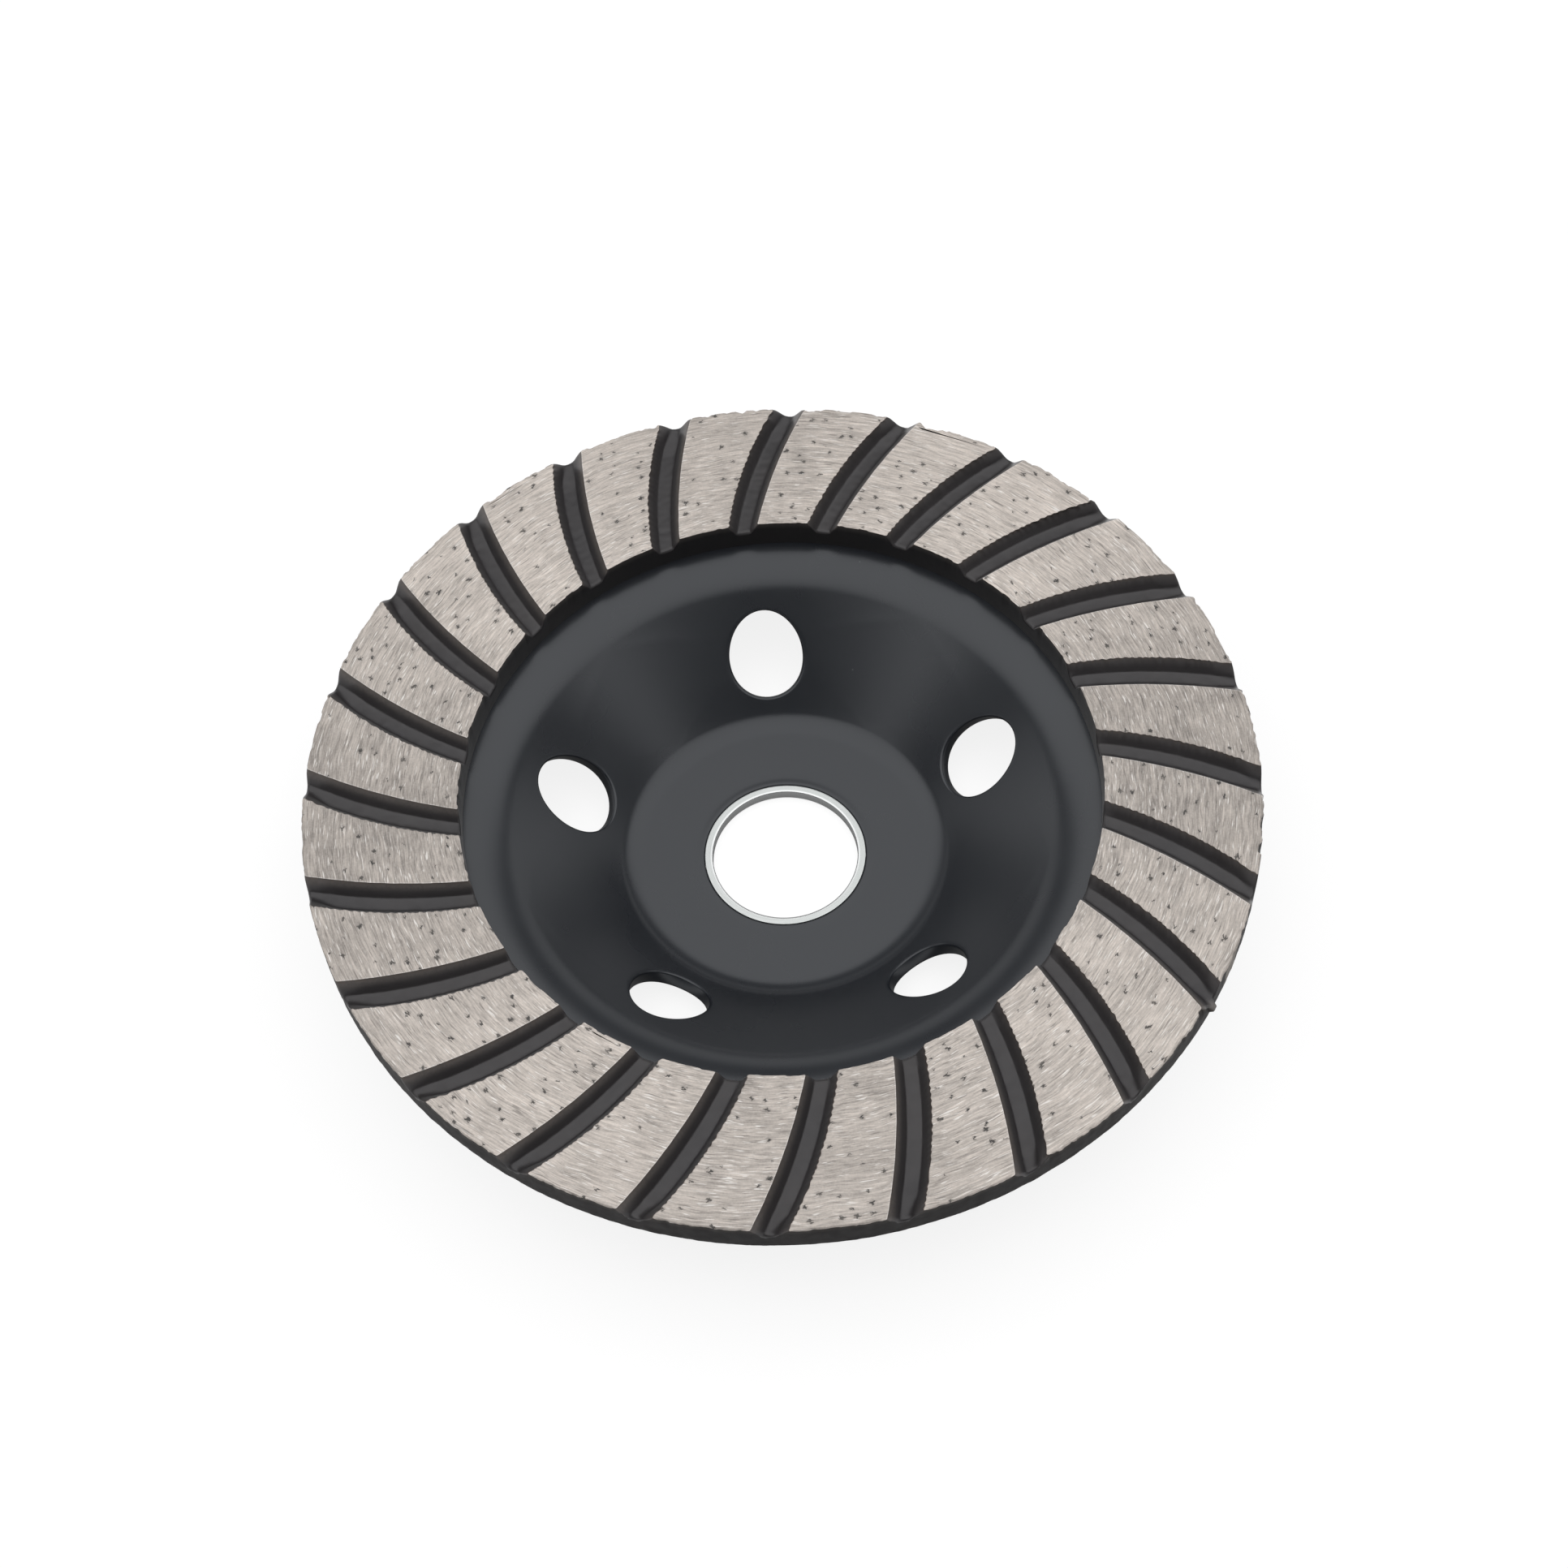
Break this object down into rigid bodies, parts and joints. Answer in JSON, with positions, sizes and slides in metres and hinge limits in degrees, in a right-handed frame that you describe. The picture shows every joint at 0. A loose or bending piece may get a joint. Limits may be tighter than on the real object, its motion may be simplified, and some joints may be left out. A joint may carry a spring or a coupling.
{
  "type": "diamond cup wheel",
  "caption": "Shallow pressed-steel grinding cup with a wide flat abrasive ring, curved radial grooves, oval vents in its cone and a reducing ring in its bore.",
  "frame": {"origin": "centre of the hub's back face, on the bore axis; the wheel lies on this face", "axes": "+Z along the bore axis towards the grinding face, +Y through the first vent"},
  "size_m": [0.127, 0.127, 0.0206],
  "materials": {
    "cup_paint": "satin black paint on pressed steel",
    "abrasive": "sintered metal bond, ground on its face and painted black elsewhere",
    "bush_steel": "bright turned steel"
  },
  "bodies": {
    "root": {"cup_body": "cup_paint", "abrasive_ring": "abrasive", "reducing_ring": "bush_steel"}
  },
  "joints": []
}
